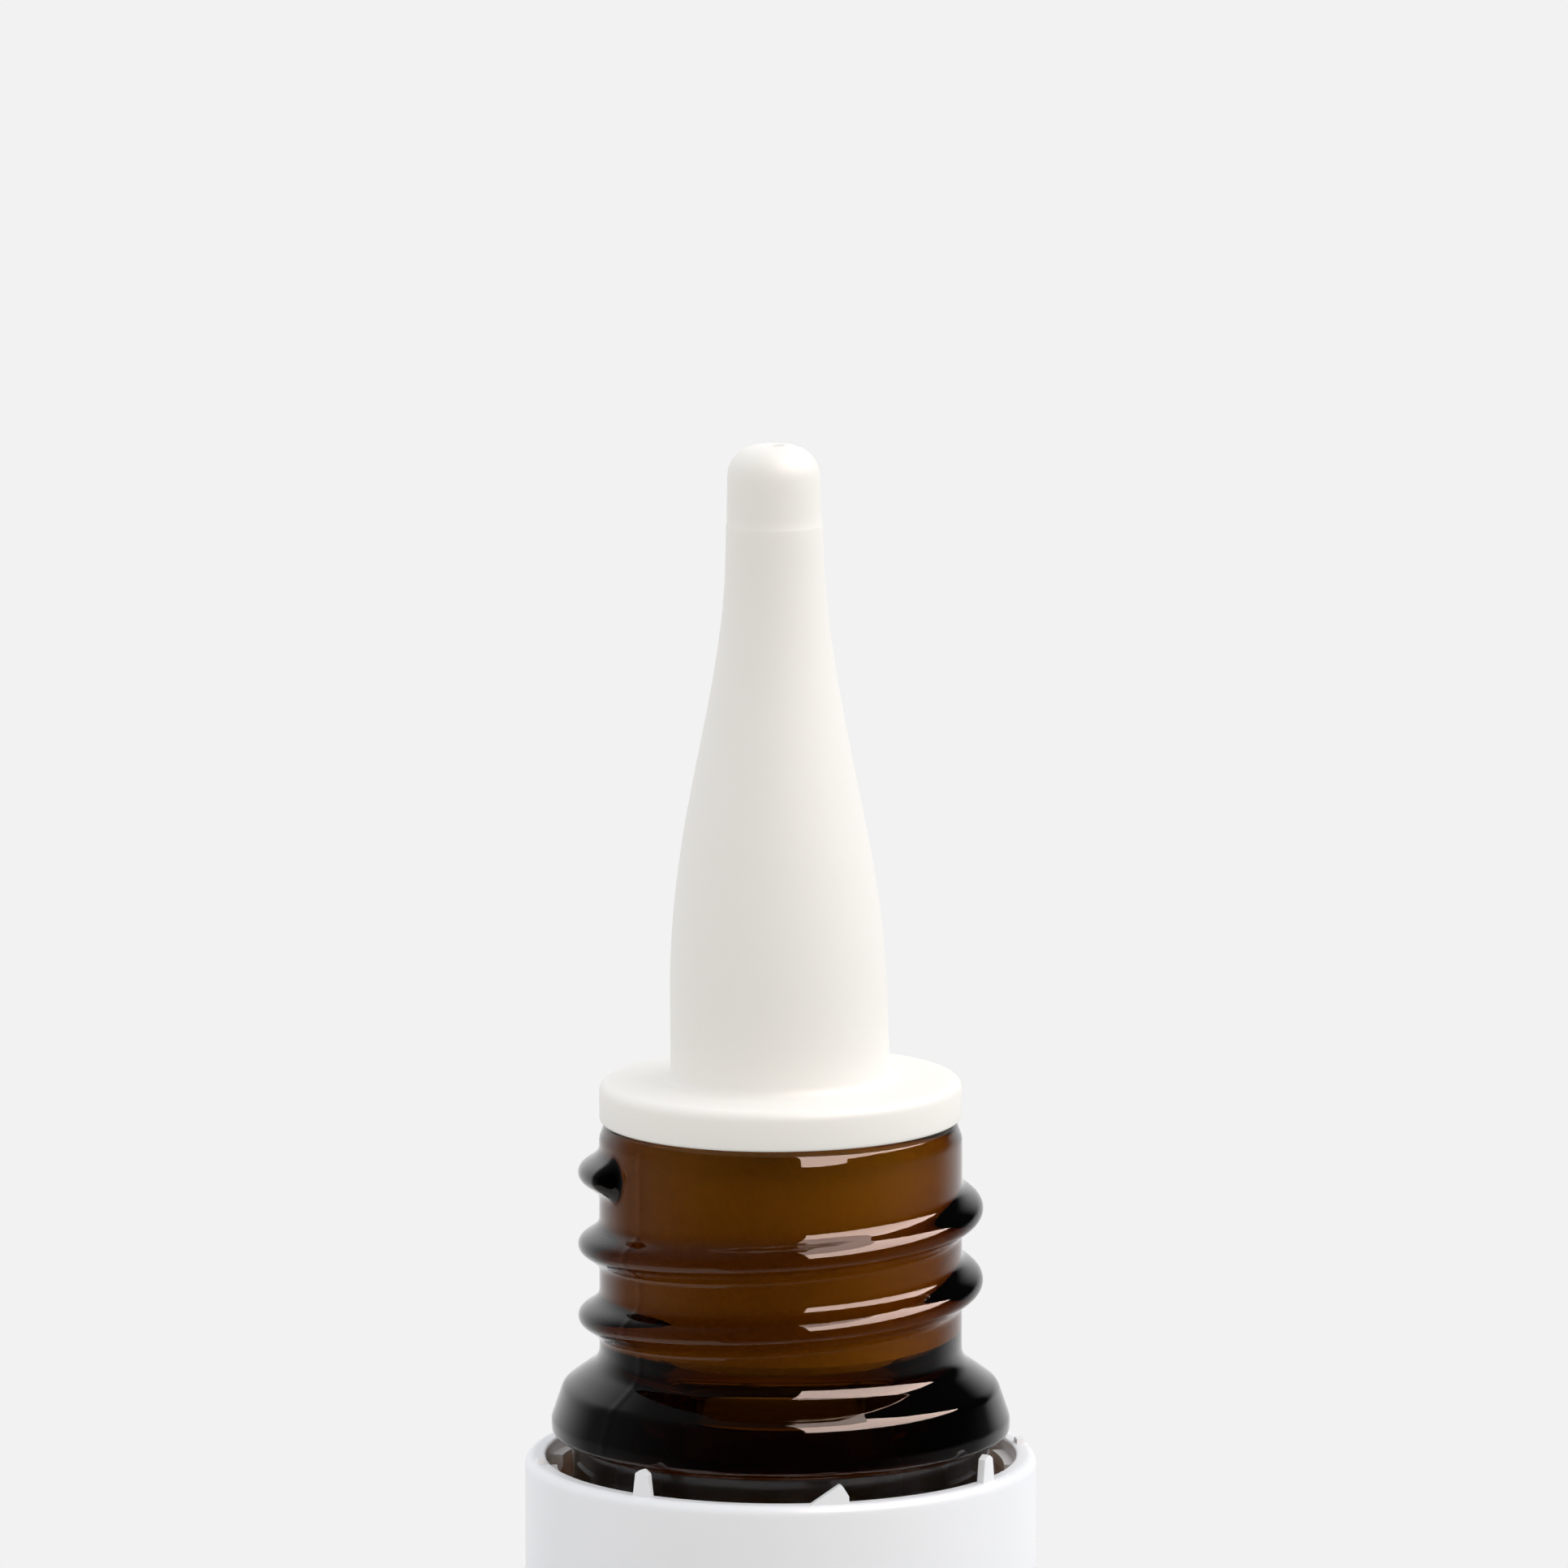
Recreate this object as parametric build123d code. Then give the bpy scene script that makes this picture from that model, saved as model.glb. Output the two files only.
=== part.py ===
from build123d import *
import math
import os

# Dropper bottle: an amber glass bottle of ten millilitres with an 18 mm screw finish,
# a soft hollow nozzle pushed into its neck, and the tamper band that the cap left behind.
# Millimetres, +Z up, origin on the bottle's axis in the plane that it stands on.

# Bottle body
bottle_height = 58.0
body_wall = 2.0
base_thickness = 3.2
heel_radius = 2.6
foot_land = 1.0
foot_edge_radius = 0.9
push_up_depth = 0.9
push_up_slope = 22.0
floor_radius = 3.0

# Shoulder, which stands out past the band as a ledge
shoulder_ledge = 1.25
shoulder_slope = 20.0
shoulder_radius = 3.0
inner_shoulder_slope = 32.0
inner_shoulder_radius = 3.4
throat_radius = 2.0

# Neck and lip
neck_diameter = 15.8
bore_diameter = 10.6
lip_bevel_height = 0.7
lip_bevel_width = 0.28
lip_bevel_radius = 0.8
lip_radius = 0.35
mouth_radius = 0.35

# Screw thread, between an upper and a lower end
thread_pitch = 3.175
thread_start_drop = 2.06
thread_end_drop = 9.4
thread_end_angle = 90.0
thread_height = 0.92
thread_width = 2.4
thread_crest_width = 1.2
thread_sink = 0.05
thread_root_depth = 0.35

# Collar below the thread, and the undercut that holds the band
collar_gap = 1.05
collar_reach = 2.1
collar_crown_inset = 0.5
collar_crown_height = 1.45
collar_rim_height = 0.75
collar_slope = 36.0
cove_radius = 1.0
collar_crown_radius = 0.7
collar_edge_radius = 0.3
undercut_depth = 0.9
undercut_slope = 12.0
undercut_radius = 0.7
undercut_top_radius = 0.35

# Nozzle
nozzle_length = 27.85
nozzle_base_diameter = 9.54
nozzle_tip_diameter = 3.94
nozzle_base_height = 4.0
nozzle_base_draft = 0.9
nozzle_base_pull = 7.2
nozzle_neck_drop = 4.55
nozzle_neck_pull = 6.8
nozzle_tip_draft = 1.4
tip_flat_width = 0.12
tip_land_length = 3.45
tip_land_step = 0.035
nozzle_root_radius = 0.5
nozzle_wall = 1.15
nozzle_tip_wall = 1.2
orifice_diameter = 0.7
orifice_length = 3.6
orifice_funnel_slope = 58.0
orifice_dimple_diameter = 1.0
orifice_dimple_depth = 0.25

# Flange and plug of the nozzle
flange_inset = 0.02
flange_thickness = 1.75
flange_edge_radius = 0.45
flange_under_radius = 0.15
plug_length = 10.2
plug_wall = 1.05
plug_clearance = 0.12
plug_lead_in = 0.55
plug_lead_height = 1.1
rib_clearance = 0.03
rib_count = 3
rib_pitch = 2.0
rib_first_drop = 2.2
rib_width = 0.8
rib_root_depth = 0.5
seat_gap = 0.03

# Tamper band, hung below the collar
band_clearance = 0.25
band_wall = 0.9
band_drop = 0.9
band_height = 5.23
band_top_radius = 0.42
band_edge_radius = 0.12
band_foot_land = 0.15
band_gap = 0.08

# Retaining lugs inside the band
lug_count = 12
lug_arc = 18.0
lug_catch = 0.25
lug_top_drop = 0.55
lug_height = 1.5
lug_face_height = 0.5

# Broken bridges on the band's top, in order round it from the first one's azimuth
bridge_kinds = ("post", "ramp", "post", "low", "post", "ramp", "post", "low")
bridge_azimuth = -33.7
bridge_inset = 0.5
bridge_thickness = 0.34
bridge_sink = 0.5
bridge_round = 0.14
post_width = 0.86
post_tip_width = 0.6
post_height = 1.2
post_shoulder_drop = 0.2
ramp_width = 1.68
ramp_height = 0.87
ramp_apex_offset = 0.5
ramp_back_height = 0.32
low_width = 1.1
low_top_width = 0.55
low_height = 0.2

# Levels below the mouth, each hung from the one above it
collar_top_drop = thread_end_drop + thread_width / 2 + collar_gap
collar_waist_drop = collar_top_drop + collar_crown_height
collar_bottom_drop = collar_waist_drop + collar_rim_height
band_top_drop = collar_bottom_drop + band_drop
band_foot_drop = band_top_drop + band_height

# Diameters, each built out from the neck
flange_diameter = neck_diameter - 2 * flange_inset
collar_diameter = neck_diameter + 2 * collar_reach
collar_top_diameter = collar_diameter - 2 * collar_crown_inset
undercut_diameter = collar_diameter - 2 * undercut_depth
band_inner_diameter = collar_diameter + 2 * band_clearance
band_diameter = band_inner_diameter + 2 * band_wall
body_diameter = band_diameter + 2 * shoulder_ledge
foot_inner_diameter = body_diameter - 2 * (heel_radius + foot_land)


def drop(depth):
    """Height above the foot of a level that lies depth below the bottle's mouth."""
    return bottle_height - depth


def turned(edges):
    """Solid of revolution about the bottle's axis from an outline of (radius, height) edges."""
    return revolve(Plane.XZ * make_face(edges), Axis.Z)


def cornered(corners):
    """Closed outline from (radius, height, corner rounding) triples."""
    points = [(radius, height) for radius, height, rounding in corners]
    roundings = [rounding for radius, height, rounding in corners]
    return FilletPolyline(*points, radius=roundings, close=True).edges()


def rise(run, slope):
    """Height gained over a run at a slope in degrees."""
    return run * math.tan(math.radians(slope))


def tangent_length(radius, slope):
    """Length that a rounding takes up on each side of a corner from upright to a slope."""
    return radius * math.tan(math.radians((90 - slope) / 2))


def shoulder_rise(radius):
    """Height of the rounded shoulder above its sharp corner, at a distance from the axis."""
    run = body_diameter / 2 - radius
    rounded_run = shoulder_radius * (1 - math.sin(math.radians(shoulder_slope)))
    if run > rounded_run:
        return rise(run, shoulder_slope)
    arc_height = math.sqrt(shoulder_radius**2 - (shoulder_radius - run) ** 2)
    return arc_height - tangent_length(shoulder_radius, shoulder_slope)


def shoulder_corner():
    """Height of the sharp corner of the body and its shoulder, set by the band's foot."""
    foot_land_radius = band_diameter / 2 - band_foot_land
    return drop(band_foot_drop) - band_gap - shoulder_rise(foot_land_radius)


def shoulder_height(radius):
    """Height of the bottle's outer shoulder at a distance from the axis."""
    return shoulder_corner() + shoulder_rise(radius)


def glass_blank():
    """The bottle without its thread: one outline up the outside and down the inside."""
    body_radius = body_diameter / 2
    inner_radius = body_radius - body_wall
    bore_radius = bore_diameter / 2
    foot_radius = foot_inner_diameter / 2
    push_up_radius = foot_radius - push_up_depth / math.tan(math.radians(push_up_slope))
    undercut_top = drop(collar_bottom_drop) + rise(
        (collar_diameter - undercut_diameter) / 2, undercut_slope
    )
    cove_height = drop(collar_top_drop) + rise(
        (collar_top_diameter - neck_diameter) / 2, collar_slope
    )
    inner_corner = shoulder_corner() - tangent_length(body_wall, shoulder_slope)
    throat_height = inner_corner + rise(inner_radius - bore_radius, inner_shoulder_slope)
    return turned(
        cornered(
            [
                (0, push_up_depth, 0),
                (push_up_radius, push_up_depth, foot_edge_radius),
                (foot_radius, 0, foot_edge_radius),
                (body_radius, 0, heel_radius),
                (body_radius, shoulder_corner(), shoulder_radius),
                (undercut_diameter / 2, shoulder_height(undercut_diameter / 2), undercut_radius),
                (undercut_diameter / 2, undercut_top, undercut_top_radius),
                (collar_diameter / 2, drop(collar_bottom_drop), collar_edge_radius),
                (collar_diameter / 2, drop(collar_waist_drop), collar_crown_radius),
                (collar_top_diameter / 2, drop(collar_top_drop), collar_crown_radius),
                (neck_diameter / 2, cove_height, cove_radius),
                (neck_diameter / 2, drop(lip_bevel_height), lip_bevel_radius),
                (neck_diameter / 2 - lip_bevel_width, bottle_height, lip_radius),
                (bore_radius, bottle_height, mouth_radius),
                (bore_radius, throat_height, throat_radius),
                (inner_radius, inner_corner, inner_shoulder_radius),
                (inner_radius, base_thickness, floor_radius),
                (0, base_thickness + push_up_depth, 0),
            ]
        )
    )


def thread_section(half=False):
    """Section of the thread in its own plane: a rounded crest whose flanks run out into the neck."""
    root = -thread_root_depth
    skin = -thread_sink
    foot = thread_width / 2
    crest = thread_crest_width / 2
    upper = Bezier((skin, foot), (skin, crest), (thread_height, crest), (thread_height, 0))
    if half:
        sides = Polyline((thread_height, 0), (root, 0), (root, foot), (skin, foot))
        return make_face(upper.edges() + sides.edges())
    lower = Bezier((thread_height, 0), (thread_height, -crest), (skin, -crest), (skin, -foot))
    sides = Polyline((skin, -foot), (root, -foot), (root, foot), (skin, foot))
    return make_face(upper.edges() + lower.edges() + sides.edges())


def screw_thread():
    """Right-hand thread with rounded, full-height ends, wound up from its lower end."""
    neck_radius = neck_diameter / 2
    length = thread_end_drop - thread_start_drop
    at_start = Plane((neck_radius, 0, 0), x_dir=(1, 0, 0), z_dir=(0, -1, 0))
    path = Helix(thread_pitch, length, neck_radius)
    ridge = sweep(at_start * thread_section(), path=path, is_frenet=True)
    button_axis = Axis((neck_radius, 0, 0), (1, 0, 0))
    button = revolve(at_start * thread_section(half=True), button_axis, 180)
    far_button = Rot(180, 0, 0) * button
    far_end = Pos(0, 0, length) * Rot(0, 0, 360 * length / thread_pitch)
    thread = ridge + button + far_end * far_button
    return Pos(0, 0, drop(thread_end_drop)) * Rot(0, 0, thread_end_angle) * thread


def make_glass_bottle():
    """The whole bottle, with its thread fused to the neck."""
    return glass_blank() + screw_thread()


def leaning(point, draft, pull):
    """Point that lies a pull away from another, up a wall that leans in by a draft in degrees."""
    radius, height = point
    lean = math.radians(draft)
    return (radius - pull * math.sin(lean), height + pull * math.cos(lean))


def make_dropper_nozzle():
    """Hollow soft nozzle: plug with sealing ribs, flange, slender cone and drop orifice."""
    seat = bottle_height + seat_gap
    top = seat + flange_thickness
    tip = top + nozzle_length
    bore_radius = bore_diameter / 2
    plug_radius = bore_radius - plug_clearance
    base_low = (nozzle_base_diameter / 2, top)
    base_high = leaning(base_low, nozzle_base_draft, nozzle_base_height)
    tip_low_height = tip - tip_land_length
    tip_radius = nozzle_tip_diameter / 2
    land_radius = tip_radius + rise(tip_land_length, nozzle_tip_draft)
    neck_height = tip - nozzle_neck_drop
    neck_radius = land_radius + tip_land_step + rise(tip_low_height - neck_height, nozzle_tip_draft)
    neck = (neck_radius, neck_height)
    outer = Bezier(
        base_high,
        leaning(base_high, nozzle_base_draft, nozzle_base_pull),
        leaning(neck, nozzle_tip_draft, -nozzle_neck_pull),
        neck,
    )
    dimple_radius = orifice_dimple_diameter / 2
    tip_rounding = tip_radius - dimple_radius - tip_flat_width
    funnel_radius = neck_radius - nozzle_tip_wall
    funnel_height = rise(funnel_radius - orifice_diameter / 2, orifice_funnel_slope)
    tip_outline = FilletPolyline(
        neck,
        (land_radius + tip_land_step, tip_low_height),
        (land_radius, tip_low_height),
        (tip_radius, tip),
        (dimple_radius, tip),
        (orifice_diameter / 2, tip - orifice_dimple_depth),
        (orifice_diameter / 2, tip - orifice_length),
        (funnel_radius, tip - orifice_length - funnel_height),
        radius=[0, 0, tip_rounding, 0, 0, 0],
    )
    inner_neck = tip_outline @ 1
    inner_base = (nozzle_base_diameter / 2 - nozzle_wall, top)
    inner_high = leaning(inner_base, nozzle_base_draft, nozzle_base_height)
    inner = Bezier(
        (inner_neck.X, inner_neck.Y),
        leaning((inner_neck.X, inner_neck.Y), nozzle_tip_draft, -nozzle_neck_pull),
        leaning(inner_high, nozzle_base_draft, nozzle_base_pull),
        inner_high,
    )
    foot = seat - plug_length
    hollow_radius = plug_radius - plug_wall
    lower_outline = FilletPolyline(
        inner_high,
        inner_base,
        (hollow_radius, seat),
        (hollow_radius, foot),
        (plug_radius - plug_lead_in, foot),
        (plug_radius, foot + plug_lead_height),
        (plug_radius, seat),
        (flange_diameter / 2, seat),
        (flange_diameter / 2, top),
        base_low,
        base_high,
        radius=[0, 0, 0, 0, 0, 0, flange_under_radius, flange_edge_radius, nozzle_root_radius],
    )
    nozzle = turned(outer.edges() + tip_outline.edges() + inner.edges() + lower_outline.edges())
    for number in range(rib_count):
        nozzle += sealing_rib(seat - rib_first_drop - number * rib_pitch)
    return nozzle


def sealing_rib(height):
    """Low ring round the plug that grips the neck's bore."""
    root = bore_diameter / 2 - plug_clearance
    crest = bore_diameter / 2 - rib_clearance
    back_radius = root - rib_root_depth
    half = rib_width / 2
    back = Polyline((root, height + half), (back_radius, height + half),
                    (back_radius, height - half), (root, height - half))
    front = ThreePointArc((root, height - half), (crest, height), (root, height + half))
    return turned(back.edges() + front.edges())


def band_shell():
    """The band's wall, bevelled below so that it clears the shoulder."""
    outer = band_diameter / 2
    inner = band_inner_diameter / 2
    land = outer - band_foot_land
    foot = drop(band_foot_drop)
    top = drop(band_top_drop)
    return turned(
        cornered(
            [
                (inner, shoulder_height(inner) + band_gap, 0),
                (land, foot, 0),
                (outer, foot, band_edge_radius),
                (outer, top, band_top_radius),
                (inner, top, band_edge_radius),
            ]
        )
    )


def retaining_lug():
    """One lug inside the band: a flat top to catch below the collar, and a long lead-in."""
    band_bore = band_inner_diameter / 2
    root = band_bore + band_wall / 2
    crest = collar_diameter / 2 - lug_catch
    top = drop(band_top_drop + lug_top_drop)
    bottom = top - lug_height
    outline = Polyline((root, top), (crest, top), (crest, top - lug_face_height),
                       (band_bore, bottom), (root, bottom), close=True)
    return revolve(Plane.XZ * make_face(outline.edges()), Axis.Z, lug_arc)


def stub(points, roundings):
    """A stub of plastic on the band's top at the front, from the outline of its face."""
    outline = FilletPolyline(*points, radius=roundings, close=True)
    face = Plane.XZ * make_face(outline.edges())
    solid = extrude(face, bridge_thickness / 2, both=True)
    return Pos(0, bridge_inset - band_diameter / 2, drop(band_top_drop)) * solid


def broken_post():
    """Slender bridge that tore near its tip, with one shoulder lower than the other."""
    foot = post_width / 2
    tip = post_tip_width / 2
    shoulder = post_height - post_shoulder_drop
    return stub(
        [(-foot, -bridge_sink), (foot, -bridge_sink), (foot, 0), (tip, shoulder),
         (0, post_height), (-tip, shoulder), (-foot, 0)],
        [0, 0, 0, bridge_round, bridge_round, 0, 0],
    )


def broken_ramp():
    """Low ramp that drove the band round with the cap: a long slope up to a steep back."""
    foot = ramp_width / 2
    return stub(
        [(-foot, -bridge_sink), (foot, -bridge_sink), (foot, ramp_back_height),
         (ramp_apex_offset, ramp_height), (-foot, 0)],
        [0, 0, bridge_round, bridge_round, 0],
    )


def broken_low():
    """Bridge that tore off almost flush with the band."""
    foot = low_width / 2
    top = low_top_width / 2
    return stub(
        [(-foot, -bridge_sink), (foot, -bridge_sink), (top, low_height), (-top, low_height)],
        [0, 0, 0, 0],
    )


def make_tamper_band():
    """The band, its lugs and the stubs of its broken bridges."""
    band = band_shell()
    for number in range(lug_count):
        band += Rot(0, 0, 360 / lug_count * number) * retaining_lug()
    stubs = {"post": broken_post(), "ramp": broken_ramp(), "low": broken_low()}
    for number, kind in enumerate(bridge_kinds):
        azimuth = bridge_azimuth + 360 / len(bridge_kinds) * number
        band += Rot(0, 0, azimuth) * stubs[kind]
    return band


os.makedirs("parts", exist_ok=True)
nodes = {
    "glass_bottle": make_glass_bottle(),
    "dropper_nozzle": make_dropper_nozzle(),
    "tamper_band": make_tamper_band(),
}
for name, shape in nodes.items():
    print(name, len(shape.solids()), "solid,", round(shape.volume, 1), "mm3")
    export_step(shape, f"parts/{name}.step")
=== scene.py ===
# %% [markdown]
# # An amber dropper bottle
#
# A small pharmacy bottle of brown glass stands with its cap off. A soft white nozzle is pushed
# into the neck, and the loose ring below the collar is what the cap left behind when it was
# first opened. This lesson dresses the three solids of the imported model: it gives each one its
# finish, and makes the glass again as a finer mesh, because glass shows every facet it has.

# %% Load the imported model
import math

import bpy
import numpy as np
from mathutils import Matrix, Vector


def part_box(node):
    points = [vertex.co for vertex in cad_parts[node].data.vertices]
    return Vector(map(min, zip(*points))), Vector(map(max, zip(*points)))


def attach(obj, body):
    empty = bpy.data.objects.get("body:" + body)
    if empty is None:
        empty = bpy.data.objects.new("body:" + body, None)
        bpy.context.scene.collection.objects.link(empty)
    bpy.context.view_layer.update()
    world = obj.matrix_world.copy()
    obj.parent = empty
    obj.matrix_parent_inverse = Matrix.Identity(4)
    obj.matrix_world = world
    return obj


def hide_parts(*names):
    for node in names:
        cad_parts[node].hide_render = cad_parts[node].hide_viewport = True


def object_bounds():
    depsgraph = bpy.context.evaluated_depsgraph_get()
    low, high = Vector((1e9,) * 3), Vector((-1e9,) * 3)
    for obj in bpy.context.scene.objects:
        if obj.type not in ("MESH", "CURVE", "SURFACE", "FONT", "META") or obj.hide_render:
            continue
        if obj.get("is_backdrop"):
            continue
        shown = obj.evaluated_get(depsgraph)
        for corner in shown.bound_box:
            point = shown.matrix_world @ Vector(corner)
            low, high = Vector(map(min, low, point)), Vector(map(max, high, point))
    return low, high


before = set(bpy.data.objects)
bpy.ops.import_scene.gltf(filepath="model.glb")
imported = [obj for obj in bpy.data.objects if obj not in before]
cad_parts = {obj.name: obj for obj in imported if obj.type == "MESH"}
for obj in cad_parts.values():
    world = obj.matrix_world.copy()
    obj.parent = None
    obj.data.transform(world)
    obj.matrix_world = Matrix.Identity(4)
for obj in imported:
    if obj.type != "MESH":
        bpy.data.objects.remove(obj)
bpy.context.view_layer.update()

mm = 0.001

# %% [markdown]
# ## Sizes
#
# Blender works in metres and the bottle is made in millimetres, so every size below is a number
# times `mm`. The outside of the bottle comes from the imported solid's own box. The levels on the
# neck are measured down from the mouth, as a glassmaker's drawing gives them.

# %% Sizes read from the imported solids
glass_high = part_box("glass_bottle")[1]
nozzle_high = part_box("dropper_nozzle")[1]
band_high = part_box("tamper_band")[1]
mouth = glass_high.z
print("The mouth is", round(mouth / mm, 2), "mm up, and the tip", round(nozzle_high.z / mm, 2), "mm")
print("The radius of the body and of the ring", round(glass_high.x / mm, 2), round(band_high.x / mm, 2), "mm")

# %% [markdown]
# ## The camera
#
# The photograph is a close view from a little above: the nozzle, the neck and the ring fill its
# lower middle, and the body of the bottle lies below its edge. A long lens far away draws a
# bottle almost without perspective. The aim, the elevation and the scale below put the neck, the
# collar and the ring where the photograph has them.

# %% Set the camera up
photo_side = 1932
photo_scale = 28.46 / mm
camera_distance = 600 * mm
camera_elevation = math.radians(9.48)
camera_aim = Vector((0.145, 0, 72.82)) * mm
sensor_width = 36.0
camera_back = Vector((0, -math.cos(camera_elevation), math.sin(camera_elevation)))

camera_data = bpy.data.cameras.new("camera")
camera_data.sensor_width = sensor_width
camera_data.lens = sensor_width * photo_scale * camera_distance / photo_side
camera_data.clip_start = camera_distance / 100
camera_data.clip_end = camera_distance * 100
camera = bpy.data.objects.new("camera", camera_data)
camera.location = camera_aim + camera_distance * camera_back
camera.rotation_euler = (math.pi / 2 - camera_elevation, 0, 0)
bpy.context.scene.collection.objects.link(camera)
bpy.context.scene.camera = camera
bpy.context.scene.view_settings.view_transform = "Standard"
print("Lens of", round(camera_data.lens, 1), "mm")

# %% [markdown]
# ## Sums on shader sockets
#
# A finish is built from nodes. Noise, waves and masks are numbers that change over the surface,
# and it reads best when sums on them are written as plain Python: `1 - mask` rather than three
# lines that make and link a Math node. `Wire` wraps a socket and adds those nodes. `Finish` is
# one material, whose `node` method makes any other node from its settings and its sockets.

# %% Write shader sums as Python
class Wire:
    """A socket of a finish. Plus, minus and times on it add Math nodes."""

    def __init__(self, finish, socket):
        self.finish = finish
        self.socket = socket

    def math(self, operation, first, second):
        return self.finish.node("ShaderNodeMath", {"operation": operation}, {0: first, 1: second})

    def __add__(self, other):
        return self.math("ADD", self, other)

    __radd__ = __add__

    def __sub__(self, other):
        return self.math("SUBTRACT", self, other)

    def __rsub__(self, other):
        return self.math("SUBTRACT", other, self)

    def __mul__(self, other):
        return self.math("MULTIPLY", self, other)

    __rmul__ = __mul__

    def most(self, other):
        return self.math("MAXIMUM", self, other)

    def least(self, other):
        return self.math("MINIMUM", self, other)


# %% One material and its nodes
MIX_COLOURS = {"data_type": "RGBA"}
MIX_FACTOR, MIX_FIRST, MIX_SECOND, MIX_RESULT = 0, 6, 7, 2


class Finish:
    """The nodes of one material or of the world."""

    def __init__(self, owner):
        owner.use_nodes = True
        self.owner = owner
        self.tree = owner.node_tree
        self.tree.nodes.clear()

    def node(self, kind, settings={}, sockets={}, output=0):
        """Makes a node, sets it, feeds its sockets with values or wires, and returns an output."""
        made = self.tree.nodes.new(kind)
        for name, value in settings.items():
            if name == "stops":
                self.set_stops(made.color_ramp, value)
            else:
                setattr(made, name, value)
        for name, value in sockets.items():
            if isinstance(value, Wire):
                self.tree.links.new(value.socket, made.inputs[name])
            else:
                made.inputs[name].default_value = value
        return Wire(self, made.outputs[output]) if made.outputs else None

    def set_stops(self, ramp, stops):
        """Gives a colour ramp one grey stop for each (place, level)."""
        while len(ramp.elements) < len(stops):
            ramp.elements.new(1.0)
        for element, (place, level) in zip(ramp.elements, stops):
            element.position = place
            element.color = (level, level, level, 1)

    def ramp(self, value, low, high):
        """Turns a value into a mask: 0 below low, 1 above high, smooth between."""
        span = {0: value, 1: low, 2: high, 3: 0.0, 4: 1.0}
        settings = {"interpolation_type": "SMOOTHSTEP"}
        return self.node("ShaderNodeMapRange", settings, span)

    def mix(self, mask, first, second):
        """Blends two colours: the first where the mask is 0, the second where it is 1."""
        sockets = {MIX_FACTOR: mask, MIX_FIRST: first, MIX_SECOND: second}
        return self.node("ShaderNodeMix", MIX_COLOURS, sockets, MIX_RESULT)

    def noise(self, place, scale, detail=2.0, roughness=0.5):
        """Cloudy noise of a given scale, in features per metre, over a place in metres."""
        sockets = {"Vector": place, "Scale": scale, "Detail": detail, "Roughness": roughness}
        return self.node("ShaderNodeTexNoise", {}, sockets)

    def surface(self, shader, volume=None):
        """Ends the finish at its output node."""
        sockets = {"Surface": shader}
        if volume:
            sockets["Volume"] = volume
        self.node("ShaderNodeOutputMaterial", {}, sockets)


def new_finish(name):
    """A new, empty material of that name."""
    return Finish(bpy.data.materials.new(name))


def grey(level):
    """A neutral colour of a linear level."""
    return (level, level, level, 1)


# %% [markdown]
# ## The studio
#
# The photograph shows the bottle on an even, very pale grey. The world gives that grey to every
# ray that sees it straight. What lights the white plastic is softer and uneven: it is cooler and
# brighter from behind, from above and from the right than from the front, so the round nozzle
# is palest along its edges. That key light is a glow in the sky of the world. A glow without an
# edge gives white plastic its form and no hard shadow.

# %% The world as a finish, and the directions that it knows
paper = 0.888
world = bpy.data.worlds.new("studio")
bpy.context.scene.world = world
sky = Finish(world)
direction = sky.node("ShaderNodeTexCoord", {}, {}, "Generated")
split = sky.node("ShaderNodeSeparateXYZ", {}, {0: direction}).socket.node
rightwards, backwards, upwards = (Wire(sky, split.outputs[name]) for name in "XYZ")
ray = sky.node("ShaderNodeLightPath").socket.node
print("The background is a grey of", paper)

# %% Light for the matt surfaces
warm_front = (0.44, 0.395, 0.325, 1)
cool_back = (0.92, 0.93, 0.955, 1)
left_glow = (1.13, 1.15, 1.19, 1)
left_azimuth, left_elevation, left_width = -95, 15, 0.3
key_glow = (1.82, 1.83, 1.86, 1)
key_azimuth, key_elevation, key_width = 92, 34, 0.35
back_span = (-0.85, 0.45)
ceiling_span = (0.05, 1.0)


def towards(azimuth, elevation):
    """A direction from the bottle: azimuth turns from the camera to its right, in degrees."""
    turn, lift = math.radians(azimuth), math.radians(elevation)
    level = math.cos(lift)
    return Vector((level * math.sin(turn), -level * math.cos(turn), math.sin(lift)))


round_the_back = sky.ramp(backwards, *back_span)
above = sky.ramp(upwards, *ceiling_span)


def glow_round(azimuth, elevation, width):
    """A soft round mask in the sky, 1 in the middle and 0 where the cosine falls below width."""
    place = {0: direction, 1: towards(azimuth, elevation)}
    near = sky.node("ShaderNodeVectorMath", {"operation": "DOT_PRODUCT"}, place, "Value")
    return sky.ramp(near, width, 1.0)


key_mask = glow_round(key_azimuth, key_elevation, key_width)
left_mask = glow_round(left_azimuth, left_elevation, left_width)
room = sky.mix(round_the_back.most(above), warm_front, cool_back)
room_light = sky.mix(key_mask, sky.mix(left_mask, room, left_glow), key_glow)

# %% [markdown]
# Gloss is another matter. The room in front of the bottle is dark, or the brown glass would look
# milky. Glass mirrors more the flatter one looks along it, so the even light behind the bottle
# shows as a thin pale line along each edge. The levels below were read off the blue in the
# photograph, because the glass itself lets no blue through: what blue there is was mirrored.

# %% Light for gloss
dark_front = grey(0.008)
dim_side = grey(0.17)
high_right = grey(0.015)
high_left = grey(0.10)
table_glow = (0.30, 0.285, 0.27, 1)

right_span = (-0.6, 0.2)
horizon_span = (-0.12, 0.2)
front_span = (-0.9, 0.4)
table_span = (-0.93, -0.6)
wall_edge, wall_edge_right = 0.35, 0.4

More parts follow.
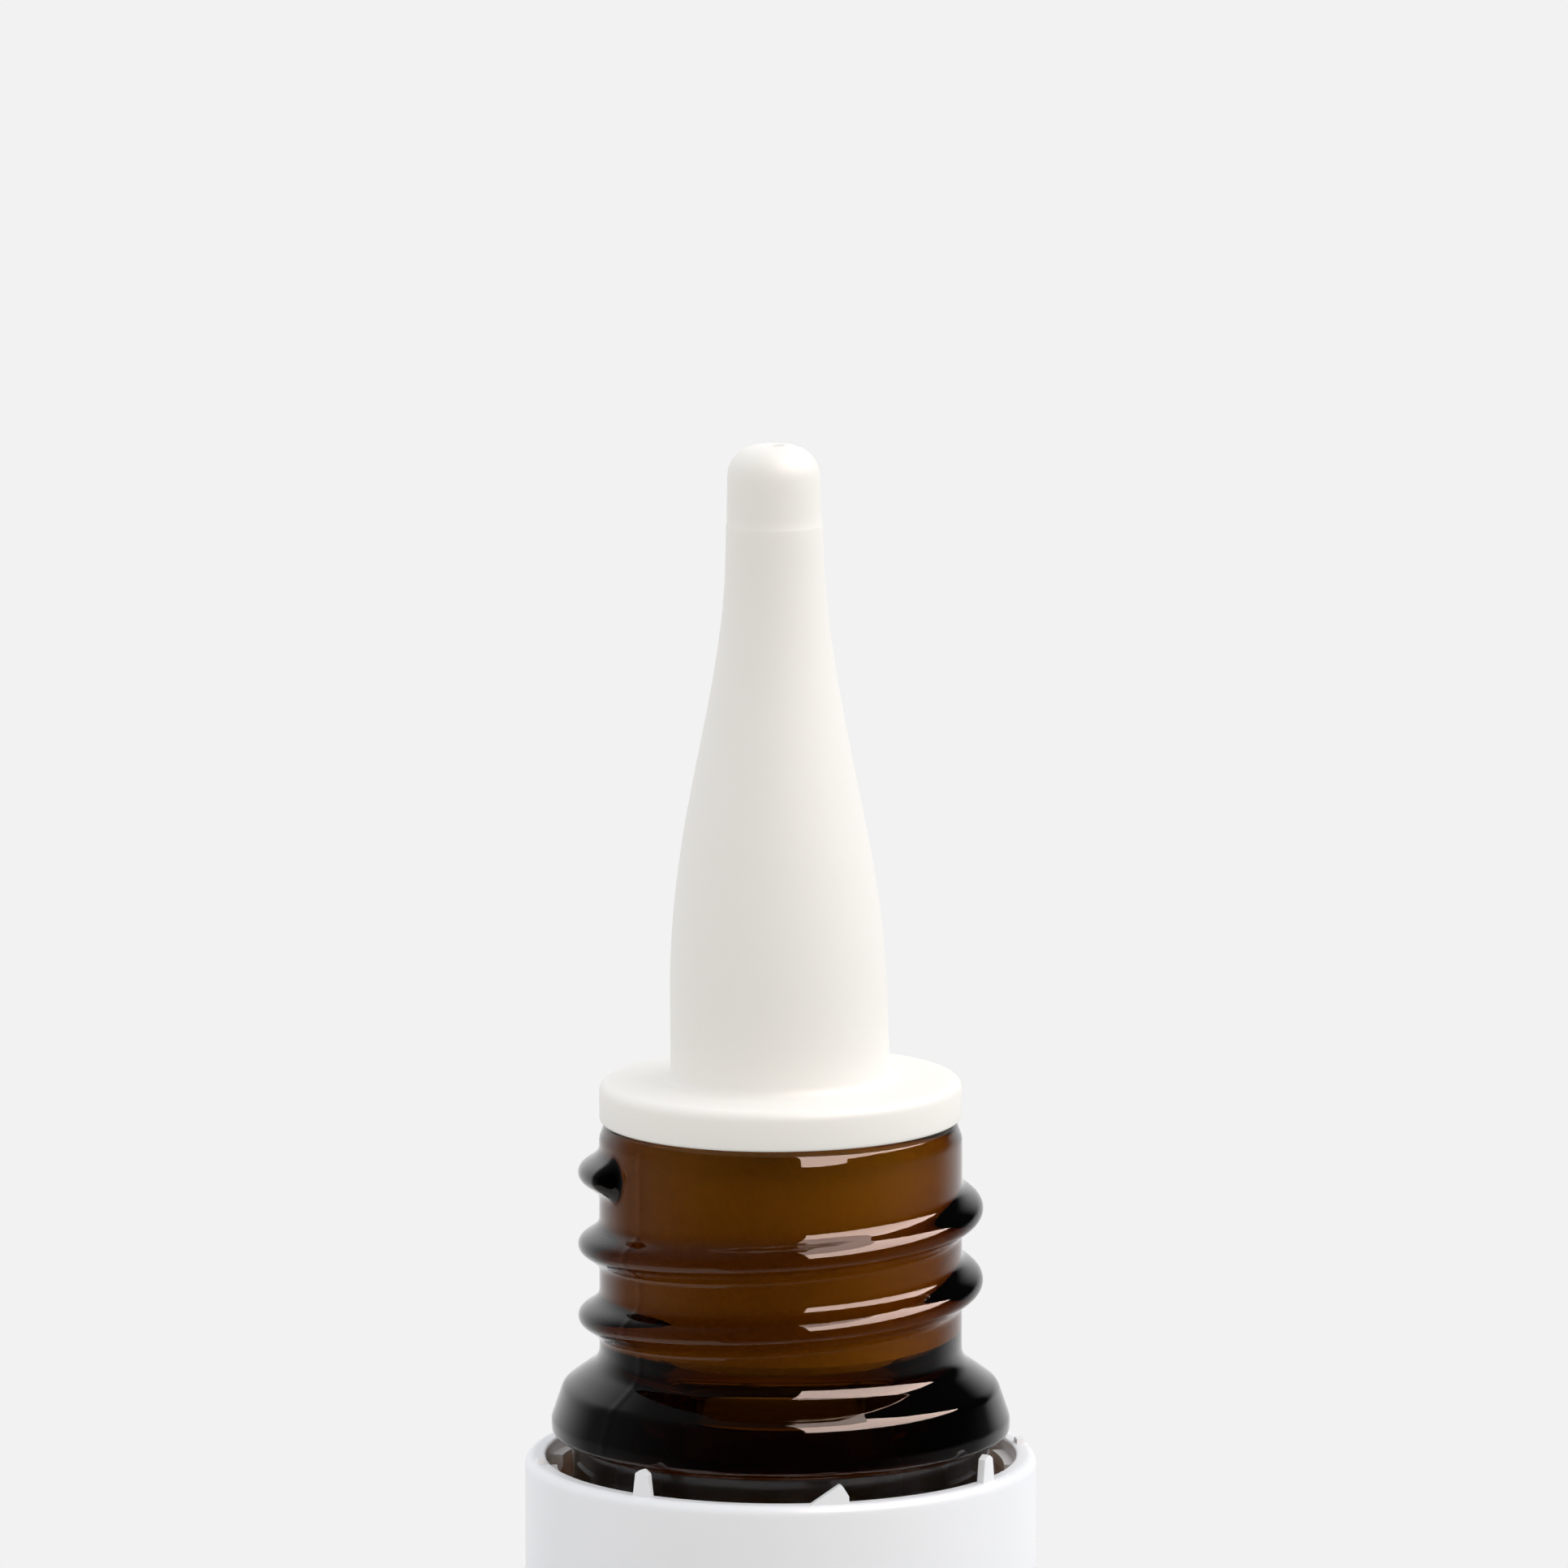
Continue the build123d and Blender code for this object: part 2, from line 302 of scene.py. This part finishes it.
on_the_left = 1 - sky.ramp(rightwards, *right_span)
high_up = sky.ramp(upwards, *horizon_span)
side = sky.mix(high_up, dim_side, sky.mix(on_the_left, high_right, high_left))
gloss_front = sky.mix(sky.ramp(backwards, *front_span), dark_front, side)
gloss_low = sky.mix(sky.ramp(upwards, *table_span), table_glow, gloss_front)
wall_begins = wall_edge + wall_edge_right * high_up * (1 - on_the_left)
gloss_light = sky.mix(sky.ramp(backwards, wall_begins, 1.0), gloss_low, grey(paper))

# %% [markdown]
# A ray that passes through the glass sees the same grey as the camera, as long as it leaves the
# bottle nearly level. Steep rays come from the table under the bottle or from the dark ceiling,
# and they are what makes the thick collar almost black. A ray that started from the white plug
# inside the neck is no longer a look through the glass: it fetches the room's light for the plug.
# In the photograph the key light is so strong that the white plastic outside burns out on that
# side. Only behind the brown glass does its full strength show, so the plug gets more of it.

# %% Light through the glass, and the choice by kind of ray
plug_front = (0.30, 0.345, 0.29, 1)
plug_left = (6.8, 7.9, 6.8, 1)
plug_key = (13.8, 16.4, 14.4, 1)
plug_light = sky.mix(key_mask, sky.mix(left_mask, plug_front, plug_left), plug_key)

down_span = (-0.62, -0.24)
up_span = (0.45, 0.8)
steep_grey = grey(0.16)

steep_down = 1 - sky.ramp(upwards, *down_span)
steep_up = sky.ramp(upwards, *up_span)
through_light = sky.mix(steep_down.most(steep_up), grey(paper), steep_grey)

ray_kinds = ("Is Camera Ray", "Is Glossy Ray", "Is Transmission Ray")
camera_ray, glossy_ray, through_ray = (Wire(sky, ray.outputs[name]) for name in ray_kinds)
after_matt = Wire(sky, ray.outputs["Diffuse Depth"]).least(1.0)
seen = sky.mix(glossy_ray * (1 - through_ray), room_light, gloss_light)
seen = sky.mix(through_ray, seen, sky.mix(after_matt, through_light, plug_light))
seen = sky.mix(camera_ray, seen, grey(paper))
background = sky.node("ShaderNodeBackground", {}, {"Color": seen, "Strength": 1.0})
sky.node("ShaderNodeOutputWorld", {}, {"Surface": background})

# %% [markdown]
# The floor is a wide pale disc. Near the bottle it is plain matt paper, so the bottle's soft
# shadow falls on it. Further out it turns into the same even grey as the world, so no horizon
# shows. Gloss and the glass don't see it: the world above already says what they see.

# %% Lay the floor
floor_radius = 4.0
floor_segments = 96
shadow_reach = 0.16
shadow_depth = 0.75
paper_colour = 0.84
floor_bounce = (0.63, 0.615, 0.59, 1)

floor_mesh = bpy.data.meshes.new("floor")
turns = np.linspace(0, 2 * math.pi, floor_segments, endpoint=False)
floor_mesh.from_pydata(
    [(floor_radius * math.cos(turn), floor_radius * math.sin(turn), 0) for turn in turns],
    [],
    [list(range(floor_segments))],
)
floor = bpy.data.objects.new("floor", floor_mesh)
bpy.context.scene.collection.objects.link(floor)
floor.visible_glossy = False
floor.visible_transmission = False

floor_finish = new_finish("floor_paper")
place = floor_finish.node("ShaderNodeNewGeometry", {}, {}, "Position")
distance = floor_finish.node("ShaderNodeVectorMath", {"operation": "LENGTH"}, {0: place}, "Value")
shadow_zone = shadow_depth * (1 - floor_finish.ramp(distance, 0.0, shadow_reach))
floor_ray = floor_finish.node("ShaderNodeLightPath", {}, {}, "Is Camera Ray")
even_grey = floor_finish.mix(floor_ray, floor_bounce, grey(paper))
matt = floor_finish.node("ShaderNodeBsdfDiffuse", {}, {"Color": grey(paper_colour)})
even = floor_finish.node("ShaderNodeEmission", {}, {"Color": even_grey, "Strength": 1.0})
floor_skin = floor_finish.node("ShaderNodeMixShader", {}, {0: shadow_zone, 1: even, 2: matt})
floor_finish.surface(floor_skin)
floor_mesh.materials.append(floor_finish.owner)
floor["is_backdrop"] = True

# %% [markdown]
# The strips of light that run along the lip, the thread and the collar are the reflection of a
# large softbox on the right. It is a separate card that only gloss can see, because a softbox
# bright enough to show on clear glass would burn the white plastic out. Its top is dimmer, so it
# is a card of its own. A weak card low on the left lays a grey veil over the undersides of the
# thread on that side.

# %% Hang the cards
card_distance = 0.5
card_columns, card_rows = 25, 9


def grid_faces(rows, columns):
    """The faces of a grid of points that runs row by row."""
    faces = []
    for row in range(rows - 1):
        for column in range(columns - 1):
            here, next_row = row * columns + column, (row + 1) * columns + column
            faces.append((here, here + 1, next_row + 1, next_row))
    return faces


def gloss_card(name, azimuths, elevations, colour, strength):
    """A curved card of light round the neck that only gloss sees."""
    centre = Vector((0, 0, mouth))
    points = []
    for elevation in np.linspace(*elevations, card_rows):
        for azimuth in np.linspace(*azimuths, card_columns):
            points.append(centre + card_distance * towards(azimuth, elevation))
    mesh = bpy.data.meshes.new(name)
    mesh.from_pydata(points, [], grid_faces(card_rows, card_columns))
    card = bpy.data.objects.new(name, mesh)
    bpy.context.scene.collection.objects.link(card)
    card.visible_camera = False
    card.visible_diffuse = False
    card.visible_transmission = False
    card.visible_shadow = False
    glow = new_finish(name)
    glow.surface(glow.node("ShaderNodeEmission", {}, {"Color": colour, "Strength": strength}))
    mesh.materials.append(glow.owner)
    card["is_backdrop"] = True
    print(name, "spans", azimuths, "degrees round and", elevations, "degrees up")


gloss_card("softbox_card", (14, 122), (29, 66), (1.0, 0.76, 0.66, 1), 10.5)
gloss_card("softbox_top_card", (14, 140), (66, 86), (1.0, 0.80, 0.72, 1), 4.0)
gloss_card("veil_card", (-140, -37), (-80, -30), (1.0, 0.93, 0.88, 1), 0.50)

# %% [markdown]
# ## The glass
#
# Brown glass is clear glass with iron and sulphur in it. Its colour isn't on its skin: light
# loses its blue, then its green, along the way through the wall, so thick places are nearly
# black and thin ones honey-yellow. The finish is a clear skin with an absorbing volume inside,
# and the shape does the rest. Moulded glass is never quite even, so the skin has a faint
# unevenness, and a few smears where it was held.

# %% The finish of the glass
glass_index = 1.52
amber_left_over = (0.65, 0.48, 0.02, 1)
amber_density = 1240.0

amber = new_finish("amber_glass")
where = amber.node("ShaderNodeTexCoord", {}, {}, "Object")
smears = amber.ramp(amber.noise(where, 90.0, 3.0), 0.55, 0.8)
ripple = amber.noise(where, 260.0, 1.0)
uneven = amber.node("ShaderNodeBump", {}, {"Strength": 0.08, "Distance": 0.1 * mm, "Height": ripple})
amber_skin = {
    "Base Color": (1, 1, 1, 1),
    "Roughness": 0.004 + 0.03 * smears,
    "IOR": glass_index,
    "Transmission Weight": 1.0,
    "Normal": uneven,
}
clear = amber.node("ShaderNodeBsdfPrincipled", {}, amber_skin)
amber_depth = {"Color": amber_left_over, "Density": amber_density}
amber.surface(clear, amber.node("ShaderNodeVolumeAbsorption", {}, amber_depth))
amber_wall = 2 * mm
left = [round(math.exp(-amber_density * (1 - level) * amber_wall), 2) for level in amber_left_over[:3]]
print("A wall of 2 mm lets through", left, "of red, green and blue")

# %% [markdown]
# Glass shows every facet it has, in its highlights and in what one sees through it. So the
# bottle is made again from its own outline, as rings of points so close that none shows. The
# outline is a list of corners, each with its distance from the axis, its height and its rounding,
# in millimetres. It runs from the middle of the foot up the outside, over the lip and down the
# inside, as the mould and the blowing air shape the real one.

# %% The corners of the glass
mouth_mm = mouth / mm
glass_corners = [
    (0, 0.9, 0),
    (6.572, 0.9, 0.9),
    (8.8, 0, 0.9),
    (12.4, 0, 2.6),
    (12.4, 37.503, 3.0),
    (9.1, 38.704, 0.7),
    (9.1, 44.341, 0.35),
    (10.0, 44.15, 0.3),
    (10.0, 44.9, 0.7),
    (9.5, 46.35, 0.7),
    (7.9, 47.512, 1.0),
    (7.9, mouth_mm - 0.7, 0.8),
    (7.62, mouth_mm, 0.35),
    (5.3, mouth_mm, 0.35),
    (5.3, 39.289, 2.0),
    (10.4, 36.102, 3.4),
    (10.4, 3.2, 3.0),
    (0, 4.1, 0),
]


def rounded(corners, step):
    """Points along a run of corners, each rounded off, no further apart than step at a height."""
    places = [np.array(corner[:2], dtype=float) for corner in corners]
    legs = []
    for number in range(1, len(places) - 1):
        back, onward = places[number - 1] - places[number], places[number + 1] - places[number]
        back, onward = back / np.linalg.norm(back), onward / np.linalg.norm(onward)
        half = math.acos(float(np.clip(back @ onward, -1, 1))) / 2
        rounding = corners[number][2]
        if not rounding:
            legs.append([places[number]])
            continue
        reach = rounding / math.tan(half)
        inward = (back + onward) / np.linalg.norm(back + onward)
        middle = places[number] + inward * rounding / math.sin(half)
        first, last = places[number] + back * reach - middle, places[number] + onward * reach - middle
        start = math.atan2(first[1], first[0])
        sweep = math.atan2(first[0] * last[1] - first[1] * last[0], first @ last)
        count = max(6, math.ceil(abs(sweep) * rounding / step(places[number][1])))
        angles = start + sweep * np.linspace(0, 1, count + 1)
        legs.append([middle + rounding * np.array([math.cos(a), math.sin(a)]) for a in angles])
    legs = [[places[0]]] + legs + [[places[-1]]]
    points = []
    for leg, following in zip(legs, legs[1:]):
        points.extend(leg)
        run = following[0] - leg[-1]
        count = math.ceil(np.linalg.norm(run) / step((leg[-1][1] + following[0][1]) / 2))
        points.extend(leg[-1] + run * share for share in np.linspace(0, 1, count, endpoint=False)[1:])
    points.append(places[-1])
    return np.array(points)


neck_step, body_step = 0.12, 1.0
thread_zone = mouth_mm - 11.5
hair = 1e-6
glass_outline = rounded(glass_corners, lambda level: neck_step if level > thread_zone else body_step)
lip_top = int(np.argmax(glass_outline[:, 1] >= mouth_mm - hair))
print("The outline has", len(glass_outline), "points,", lip_top, "of them up the outside")

# %% [markdown]
# The thread is a ridge that winds up the neck to the right. Seen in a section through the axis it
# swells out of the neck, over a round crest and back, and at both ends it closes like the end of
# a loaf. For a point on the neck, what counts is how far it lies from the ridge's middle line,
# and beyond an end, how far it lies from that end.

# %% How high the thread stands at a point of the neck
thread_pitch = 3.175
thread_low, thread_top = mouth_mm - 9.4, mouth_mm - 2.06
thread_turns = (thread_top - thread_low) / thread_pitch
thread_start = 0.25
thread_foot, thread_shoulder, thread_height = 1.2, 0.6, 0.92
neck_radius = 7.9

share = np.linspace(0, 1, 60)
ridge_from_middle = thread_foot * (1 - share) ** 3 + 3 * thread_shoulder * share * (1 - share)
ridge_height = thread_height * (3 * share**2 - 2 * share**3)


def thread_stands(turn, height):
    """Height of the thread over the neck, at a share of a turn round it and a height."""
    stands = np.zeros(np.broadcast(turn, height).shape)
    for lap in range(-1, math.ceil(thread_turns) + 1):
        along = turn - thread_start + lap
        held = np.clip(along, 0, thread_turns)
        beyond = (along - held) * 2 * math.pi * neck_radius
        away = np.hypot(height - thread_low - held * thread_pitch, beyond)
        ridge = np.interp(away, ridge_from_middle[::-1], ridge_height[::-1], right=0)
        stands = np.maximum(stands, ridge)
    return stands


print("The thread makes", round(thread_turns, 2), "turns")

# %% [markdown]
# Two more things make it cast glass. The mould opens in two halves, and where they meet it leaves
# a seam as fine as a hair up each side. And the inside is blown, not moulded, so the wall is
# a little thicker here than there: what one sees through the body swims.

# %% Turn the outline into a bottle
glass_columns = 352
seam_turn = 0.11
seam_height, seam_width = 0.03, 0.14
seam_low, seam_top_drop = 3, 0.4
wall_waviness = 0.10
wavy_low, wavy_high = 6, 35
long_swell, short_swell, short_share = 31, 17, 0.6


def ring_faces(rings, columns):
    """The faces between rings of points, and the fans that close the two ends at the axis."""
    faces = []
    for ring in range(rings - 1):
        low, high = 1 + ring * columns, 1 + (ring + 1) * columns
        for column in range(columns):
            onward = (column + 1) % columns
            faces.append((low + column, low + onward, high + onward, high + column))
    last = rings * columns + 1
    high = 1 + (rings - 1) * columns
    faces += [(0, 1 + (column + 1) % columns, 1 + column) for column in range(columns)]
    faces += [(high + column, high + (column + 1) % columns, last) for column in range(columns)]
    return faces


def smooth_mesh(name, points, faces, finish):
    """A smooth mesh in metres from points in millimetres, and its object."""
    mesh = bpy.data.meshes.new(name)
    mesh.from_pydata((np.asarray(points) * mm).tolist(), [], faces)
    mesh.polygons.foreach_set("use_smooth", [True] * len(mesh.polygons))
    mesh.materials.append(finish.owner)
    piece = bpy.data.objects.new(name, mesh)
    bpy.context.scene.collection.objects.link(piece)
    print(name, "has", len(mesh.polygons), "faces")
    return piece


turn = np.arange(glass_columns)[None, :] / glass_columns
radius = glass_outline[1:-1, 0][:, None] + 0 * turn
height = glass_outline[1:-1, 1][:, None] + 0 * turn
outside = np.arange(len(radius))[:, None] < lip_top
stands = outside * (height > thread_zone) * thread_stands(turn, height)
radius = np.where(stands > 0, np.maximum(radius, neck_radius + stands), radius)
to_seam = np.abs((turn - seam_turn + 0.25) % 0.5 - 0.25) * 2 * math.pi * radius
on_side = outside & (height > seam_low) & (height < mouth_mm - seam_top_drop)
radius = radius + on_side * seam_height * np.exp(-((to_seam / seam_width) ** 2))
two_lobed = np.sin(2 * math.pi * (2 * turn + height / long_swell))
three_lobed = np.sin(2 * math.pi * (3 * turn - height / short_swell))
bulge = (two_lobed + short_share * three_lobed) / (1 + short_share)
inside_body = ~outside & (height > wavy_low) & (height < wavy_high)
up_the_body = np.clip((height - wavy_low) / (wavy_high - wavy_low), 0, 1)
swell = inside_body * np.sin(math.pi * up_the_body)
radius = radius - wall_waviness * swell * bulge
angle = 2 * math.pi * turn
rings = np.stack([radius * np.cos(angle), radius * np.sin(angle), height], axis=2)
under, over = [[0, 0, glass_outline[0, 1]]], [[0, 0, glass_outline[-1, 1]]]
glass_points = np.vstack([under, rings.reshape(-1, 3), over])
bottle = smooth_mesh("bottle_glass", glass_points, ring_faces(len(rings), glass_columns), amber)
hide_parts("glass_bottle")
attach(bottle, "bottle")

# %% [markdown]
# ## The white plastics
#
# The nozzle is soft polyethylene: matt, a little waxy, and light enters it and spreads before
# it comes out again. The ring is polypropylene, harder, whiter and shinier.

# %% The finish of the nozzle
wax = new_finish("nozzle_plastic")
where = wax.node("ShaderNodeTexCoord", {}, {}, "Object")
mottle = wax.noise(where, 160.0, 4.0)
grain = wax.noise(where, 5200.0, 2.0)
wax_colour = wax.mix(mottle, (0.885, 0.865, 0.822, 1), (0.905, 0.888, 0.848, 1))
fine = wax.node("ShaderNodeBump", {}, {"Strength": 0.12, "Distance": 0.02 * mm, "Height": grain})
wax_skin = {
    "Base Color": wax_colour,
    "Roughness": 0.42 + 0.10 * mottle,
    "IOR": 1.51,
    "Specular IOR Level": 0.3,
    "Subsurface Weight": 0.25,
    "Subsurface Radius": (1.0, 0.9, 0.75),
    "Subsurface Scale": 1.0 * mm,
    "Normal": fine,
}
wax.surface(wax.node("ShaderNodeBsdfPrincipled", {}, wax_skin))

# %% The finish of the ring
shiny = new_finish("band_plastic")
where = shiny.node("ShaderNodeTexCoord", {}, {}, "Object")
mottle = shiny.noise(where, 120.0, 3.0)
scuffs = shiny.ramp(shiny.noise(where, 700.0, 3.0), 0.4, 0.9)
shiny_colour = shiny.mix(mottle, (0.885, 0.895, 0.92, 1), (0.90, 0.91, 0.937, 1))
shiny_skin = {
    "Base Color": shiny_colour,
    "Roughness": 0.30 + 0.01 * scuffs,
    "IOR": 1.49,
    "Specular IOR Level": 0.35,
    "Subsurface Weight": 0.2,
    "Subsurface Radius": (1.0, 0.95, 0.9),
    "Subsurface Scale": 0.8 * mm,
}
shiny.surface(shiny.node("ShaderNodeBsdfPrincipled", {}, shiny_skin))

# %% [markdown]
# ## The nozzle
#
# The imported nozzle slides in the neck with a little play, as a model that moves must. The real
# one is squeezed: its plug wets the glass all round, and that is why the white plug fills the
# whole width of the neck when one looks through the glass. So the nozzle is made again with
# a plug that just meets the bore. It also sits a little askew, as soft nozzles do: the flange
# is down on the left, and the tip leans the same way.

# %% The corners of the nozzle
seat_mm, flange_top, tip_mm = mouth_mm + 0.03, mouth_mm + 1.78, nozzle_high.z / mm
flange_radius = nozzle_high.x / mm
plug_radius, plug_foot = 5.303, seat_mm - 10.2


def swept(first, second, third, last, count=40):
    """Corners without a rounding along a curve with two handles."""
    share = np.linspace(0, 1, count + 1)[:, None]
    ends = np.array([first, second, third, last], dtype=float)
    curve = (1 - share) ** 3 * ends[0] + 3 * share * (1 - share) ** 2 * ends[1]
    curve = curve + 3 * share**2 * (1 - share) * ends[2] + share**3 * ends[3]
    return [(radius, height, 0) for radius, height in curve]


cone_outside = swept(
    (4.707, flange_top + 4.0),
    (4.594, flange_top + 11.2),
    (2.282, tip_mm - 11.35),
    (2.116, tip_mm - 4.55),
)
cone_inside = swept(
    (0.916, tip_mm - 4.51),
    (1.082, tip_mm - 11.3),
    (3.444, flange_top + 11.2),
    (3.557, flange_top + 4.0),
)
nozzle_corners = [
    (4.13, seat_mm, 0),
    (4.13, plug_foot, 0),
    (4.85, plug_foot, 0.1),
    (plug_radius, plug_foot + 0.45, 0.1),
    (plug_radius, seat_mm, 0),
    (flange_radius, seat_mm, 0.15),
    (flange_radius, flange_top, 0.45),
    (4.77, flange_top, 0.5),
    *cone_outside,
    (2.089, tip_mm - 3.5, 0),
    (2.077, tip_mm - 3.42, 0),
    (2.052, tip_mm - 3.36, 0),
    (1.97, tip_mm, 1.35),
    (0.5, tip_mm, 0.06),
    (0.35, tip_mm - 0.25, 0),
    (0.35, tip_mm - 3.6, 0),
    *cone_inside,
    (3.62, flange_top, 0),
    (4.13, seat_mm, 0),
]
cone_step, flange_step = 0.5, 0.3
cone_foot = flange_top + 0.6
nozzle_outline = rounded(nozzle_corners, lambda level: cone_step if level > cone_foot else flange_step)
print("The nozzle's outline has", len(nozzle_outline), "points")

# %% Turn the outline into a nozzle, and set it askew
nozzle_columns = 160
flange_tilt, cone_lean = math.radians(0.5), math.radians(1.15)
hinge_radius, hinge_width, hinge_top = 3.9, 1.6, seat_mm + 0.2
turn = np.arange(nozzle_columns)[None, :] / nozzle_columns
radius = nozzle_outline[:-1, 0][:, None] + 0 * turn
height = nozzle_outline[:-1, 1][:, None] + 0 * turn
across, deep = radius * np.cos(2 * math.pi * turn), radius * np.sin(2 * math.pi * turn)
hinge = np.clip((radius - hinge_radius) / hinge_width + (height > hinge_top), 0, 1)
above_seat = (height > seat_mm - hair) * hinge
lift = math.sin(flange_tilt) * (across + flange_radius)
up_the_cone = np.clip(height - flange_top, 0, None)
settle = math.sin(flange_tilt) * flange_radius * up_the_cone / (tip_mm - flange_top)
tilt_shift = above_seat * math.sin(flange_tilt) * (height - seat_mm)
across_leaning = across - tilt_shift - math.sin(cone_lean - flange_tilt) * up_the_cone
height_leaning = height + above_seat * (lift - settle)
nozzle_points = np.stack([across_leaning, deep, height_leaning], axis=2).reshape(-1, 3)
rings_closed = [
    (
        ring * nozzle_columns + column,
        ring * nozzle_columns + (column + 1) % nozzle_columns,
        (ring + 1) % len(radius) * nozzle_columns + (column + 1) % nozzle_columns,
        (ring + 1) % len(radius) * nozzle_columns + column,
    )
    for ring in range(len(radius))
    for column in range(nozzle_columns)
]
nozzle = smooth_mesh("nozzle_soft", nozzle_points, rings_closed, wax)
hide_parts("dropper_nozzle")
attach(nozzle, "nozzle")

# %% [markdown]
# ## The ring
#
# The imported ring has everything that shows: its rounded rim, the stubs of the torn bridges and
# the lugs inside. Its facets are small enough for matt plastic, so it needs only its finish.

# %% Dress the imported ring
band_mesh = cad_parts["tamper_band"].data
band_mesh.materials.clear()
band_mesh.materials.append(shiny.owner)
print("The ring has", len(band_mesh.polygons), "faces")

# %% The box that the shown pieces fill
shown_low, shown_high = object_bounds()
shown = [round((high - low) / mm, 2) for low, high in zip(shown_low, shown_high)]
print("The shown pieces fill", shown, "mm")
